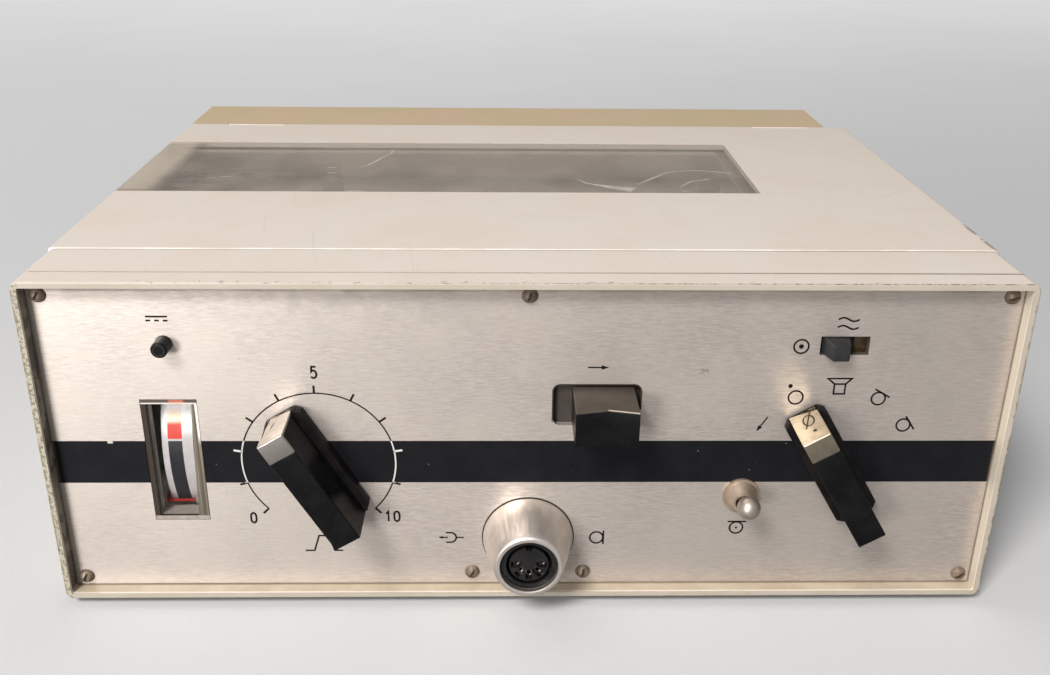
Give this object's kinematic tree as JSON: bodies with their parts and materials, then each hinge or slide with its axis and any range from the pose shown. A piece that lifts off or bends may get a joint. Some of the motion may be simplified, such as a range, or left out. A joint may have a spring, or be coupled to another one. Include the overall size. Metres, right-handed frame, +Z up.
{
  "type": "portable tape recorder",
  "caption": "Portable open-reel tape recorder: flat metal case with a front control panel, windowed lid over the tape deck and a battery box at the back.",
  "frame": {"origin": "middle of the footprint, knobs included, on the surface the feet stand on", "axes": "+X to the right seen from the control panel, +Y towards the battery box at the back, +Z up"},
  "size_m": [0.28, 0.244, 0.1053],
  "materials": {
    "paint_light": "smooth warm grey-white lacquer",
    "paint_olive": "smooth olive-beige lacquer",
    "panel_metal": "brushed, with a black printed band",
    "bare_aluminium": "fine turned or brushed",
    "steel": "plated",
    "bright_steel": "ground and polished",
    "brass": "plain",
    "black_plastic": "black, slightly glossy",
    "dark_plastic": "black, matt",
    "laminate": "brown board",
    "parts_mixed": "cans and blocks",
    "clear_window": "smoked clear sheet",
    "clear_lens": "clear",
    "scale_print": "white with black and red fields",
    "red_pointer": "red",
    "rubber": "matt",
    "belt_rubber": "matt",
    "cast_metal": "cast",
    "cell_jacket": "printed metal jacket"
  },
  "bodies": {
    "case": {"front_bezel": "paint_light", "front_panel": "panel_metal", "panel_screws": "steel", "case_shell": "paint_light", "bottom_plate": "bare_aluminium", "case_screws": "steel", "rubber_feet": "rubber", "lid_hinges": "steel", "meter_lens": "clear_lens", "meter_scale": "scale_print", "meter_housing": "dark_plastic", "level_control": "steel", "selector_switch": "laminate", "transport_guide": "steel", "switch_bodies": "dark_plastic", "toggle_bush": "bright_steel", "connector_boss": "bright_steel", "connector_insert": "dark_plastic", "connector_contacts": "brass", "deck_plate": "bare_aluminium", "lever_studs": "steel", "deck_pillars": "steel", "head_bracket": "steel", "tape_heads": "bright_steel", "tape_guides": "bright_steel", "spindle_bearings": "brass", "flywheel_bridge": "steel", "drive_motor": "cast_metal", "drive_belts": "belt_rubber", "circuit_boards": "laminate", "board_components": "parts_mixed", "loudspeaker": "steel", "battery_case": "paint_olive", "battery_cells": "cell_jacket", "battery_contacts": "steel"},
    "lid": {"lid_shell": "paint_light", "lid_window": "clear_window"},
    "level_dial": {"level_shaft": "bright_steel", "level_knob": "black_plastic", "level_knob_cap": "bare_aluminium"},
    "selector": {"selector_shaft": "bright_steel", "selector_knob": "black_plastic", "selector_knob_cap": "bare_aluminium"},
    "transport": {"transport_button": "black_plastic", "transport_slide": "steel"},
    "slide_switch": {"slide_switch_knob": "black_plastic"},
    "toggle": {"toggle_lever": "bright_steel"},
    "test_push": {"test_button": "black_plastic"},
    "meter_pointer": {"meter_needle": "red_pointer"},
    "supply_table": {"supply_turntable": "dark_plastic", "supply_spindle": "bright_steel"},
    "take_up_table": {"take_up_turntable": "dark_plastic", "take_up_spindle": "bright_steel"},
    "flywheel": {"capstan_flywheel": "steel"},
    "motor_rotor": {"motor_pulley": "brass"},
    "pinch_lever": {"pinch_arm": "steel"},
    "pinch_wheel": {"pinch_roller": "rubber"},
    "supply_brake_lever": {"supply_brake": "steel"},
    "take_up_brake_lever": {"take_up_brake": "steel"},
    "rear_door": {"battery_door": "paint_olive"}
  },
  "joints": [
    {"name": "lid_hinge", "type": "hinge", "parent": "case", "child": "lid", "pos_m": [0, 0.0822, 0.1038], "axis": [-1, 0, 0], "range_deg": [0, 95]},
    {"name": "level_turn", "type": "hinge", "parent": "case", "child": "level_dial", "pos_m": [-0.0614, -0.109, 0.0473], "axis": [0, 1, 0], "range_deg": [-104.2, 165.8]},
    {"name": "selector_turn", "type": "hinge", "parent": "case", "child": "selector", "pos_m": [0.0892, -0.109, 0.0477], "axis": [0, 1, 0], "range_deg": [-31, 93]},
    {"name": "transport_shift", "type": "slide", "parent": "case", "child": "transport", "axis": [1, 0, 0], "range_m": [-0.0052, 0]},
    {"name": "slide_switch_shift", "type": "slide", "parent": "case", "child": "slide_switch", "axis": [1, 0, 0], "range_m": [0, 0.0048]},
    {"name": "toggle_flip", "type": "hinge", "parent": "case", "child": "toggle", "pos_m": [0.0641, -0.104, 0.0358], "axis": [1, 0, 0], "range_deg": [0, 24]},
    {"name": "test_press", "type": "slide", "parent": "case", "child": "test_push", "axis": [0, 1, 0], "range_m": [0, 0.0025], "stiffness_N_per_m": 400, "springref_m": -0.002},
    {"name": "meter_swing", "type": "hinge", "parent": "case", "child": "meter_pointer", "pos_m": [-0.10315, -0.0648, 0.0462], "axis": [-1, 0, 0], "range_deg": [0, 50], "stiffness_Nm_per_rad": 0.001, "springref_deg": -5.73},
    {"name": "supply_spin", "type": "hinge", "parent": "case", "child": "supply_table", "pos_m": [-0.071, 0.0175, 0.0875], "axis": [0, 0, 1], "continuous": true},
    {"name": "take_up_spin", "type": "hinge", "parent": "case", "child": "take_up_table", "pos_m": [0.071, 0.0175, 0.0875], "axis": [0, 0, 1], "continuous": true},
    {"name": "flywheel_spin", "type": "hinge", "parent": "case", "child": "flywheel", "pos_m": [0.036, -0.055, 0.0715], "axis": [0, 0, 1], "continuous": true},
    {"name": "motor_spin", "type": "hinge", "parent": "case", "child": "motor_rotor", "pos_m": [-0.022, 0.041, 0.0605], "axis": [0, 0, 1], "continuous": true},
    {"name": "pinch_swing", "type": "hinge", "parent": "case", "child": "pinch_lever", "pos_m": [0.061, -0.062, 0.0825], "axis": [0, 0, 1], "range_deg": [-6.81, 0]},
    {"name": "pinch_spin", "type": "hinge", "parent": "pinch_lever", "child": "pinch_wheel", "pos_m": [0.0366, -0.06854, 0.0825], "axis": [0, 0, 1], "continuous": true},
    {"name": "supply_brake_swing", "type": "hinge", "parent": "case", "child": "supply_brake_lever", "pos_m": [-0.0487, -0.0095, 0.07025], "axis": [0, 0, 1], "range_deg": [-8, 0]},
    {"name": "take_up_brake_swing", "type": "hinge", "parent": "case", "child": "take_up_brake_lever", "pos_m": [0.0487, -0.0095, 0.07025], "axis": [0, 0, 1], "range_deg": [0, 8]},
    {"name": "door_hinge", "type": "hinge", "parent": "case", "child": "rear_door", "pos_m": [0, 0.1207, 0.0102], "axis": [-1, 0, 0], "range_deg": [0, 90]}
  ],
  "couplings": [
    {"joint": "pinch_swing", "follows": "transport_shift", "rad_per_m": 22.855},
    {"joint": "supply_brake_swing", "follows": "transport_shift", "rad_per_m": 26.851},
    {"joint": "take_up_brake_swing", "follows": "transport_shift", "rad_per_m": -26.851},
    {"joint": "motor_spin", "follows": "flywheel_spin", "ratio": 5}
  ]
}
